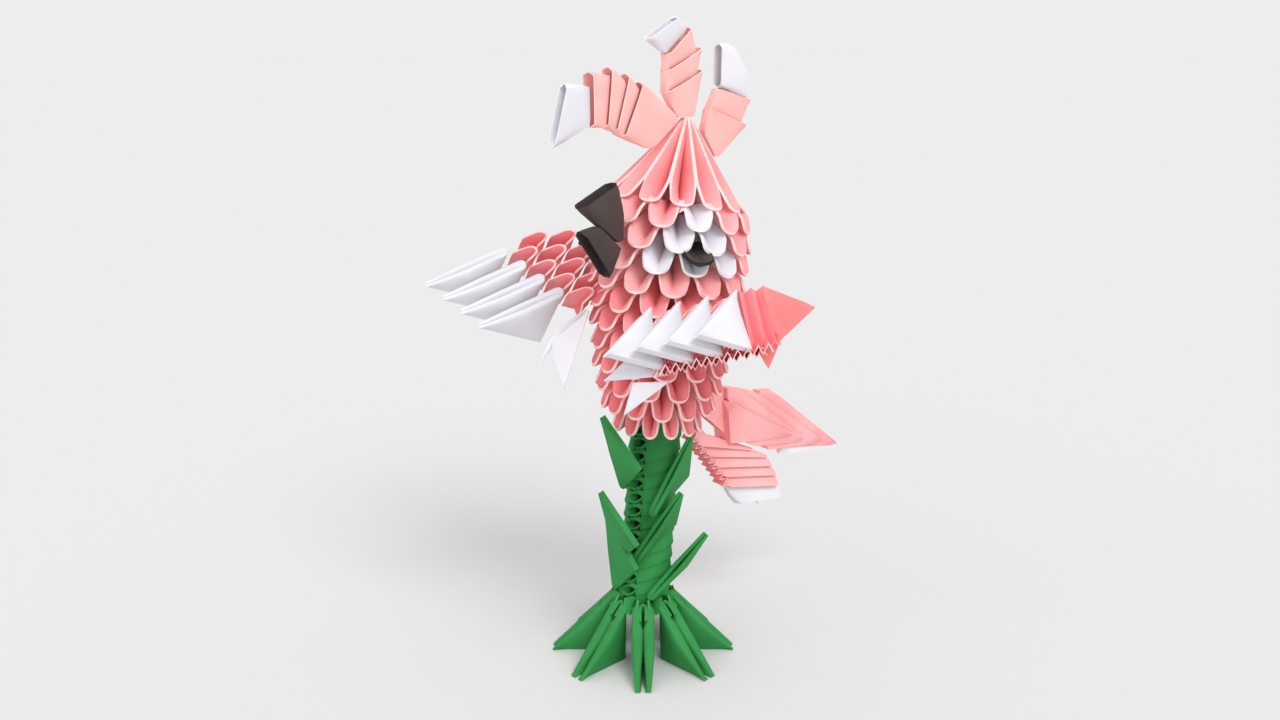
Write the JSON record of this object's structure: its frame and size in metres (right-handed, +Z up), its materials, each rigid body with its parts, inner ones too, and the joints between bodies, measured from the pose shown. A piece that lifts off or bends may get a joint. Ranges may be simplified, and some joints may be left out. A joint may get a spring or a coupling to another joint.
{
  "type": "origami parrot",
  "caption": "Standing paper parrot with a rounded body, two raised wings, a long tail and a curled crest, on a green leafy stem that spreads into a star-shaped foot.",
  "frame": {"origin": "on the ground, at the middle of the ring of feet, in the flat underside of the stem", "axes": "+Z up along the stem, the bird faces -Y and its left side is +X"},
  "size_m": [0.1012, 0.1263, 0.1875],
  "materials": {
    "pink_paper": "matt coral pink paper, folded",
    "white_paper": "matt white paper, folded",
    "dark_paper": "matt dark brown paper, folded",
    "green_paper": "matt green paper, folded"
  },
  "bodies": {
    "root": {"body_row_1": "pink_paper", "body_row_2": "pink_paper", "body_row_3": "pink_paper", "body_row_4": "pink_paper", "body_row_5": "pink_paper", "body_row_6": "pink_paper", "body_row_7": "pink_paper", "head_row_1": "pink_paper", "head_row_2": "pink_paper", "head_row_3": "pink_paper", "head_row_4": "pink_paper", "crown_row": "pink_paper", "eye_left": "dark_paper", "eye_right": "dark_paper", "upper_beak": "dark_paper", "lower_beak": "dark_paper", "crest_front": "pink_paper", "crest_front_tip": "white_paper", "crest_middle": "pink_paper", "crest_middle_tip": "white_paper", "crest_rear": "pink_paper", "crest_rear_tip": "white_paper", "wing_left_feather_1": "white_paper", "wing_left_feather_2": "white_paper", "wing_left_feather_3": "white_paper", "wing_left_feather_4": "white_paper", "wing_left_feather_5": "white_paper", "wing_left_row_1": "pink_paper", "wing_left_row_2": "pink_paper", "wing_left_row_3": "pink_paper", "wing_right_feather_1": "white_paper", "wing_right_feather_2": "white_paper", "wing_right_feather_3": "white_paper", "wing_right_feather_4": "white_paper", "wing_right_feather_5": "white_paper", "wing_right_row_1": "pink_paper", "wing_right_row_2": "pink_paper", "wing_right_row_3": "pink_paper", "tail_upper": "pink_paper", "tail_lower": "pink_paper", "tail_lower_tip": "white_paper", "leg_stem": "green_paper", "leaf_right_1": "green_paper", "leaf_right_2": "green_paper", "leaf_right_3": "green_paper", "leaf_left_1": "green_paper", "leaf_left_2": "green_paper", "foot_1": "green_paper", "foot_2": "green_paper", "foot_3": "green_paper", "foot_4": "green_paper", "foot_5": "green_paper", "foot_6": "green_paper", "foot_7": "green_paper", "foot_8": "green_paper"}
  },
  "joints": []
}
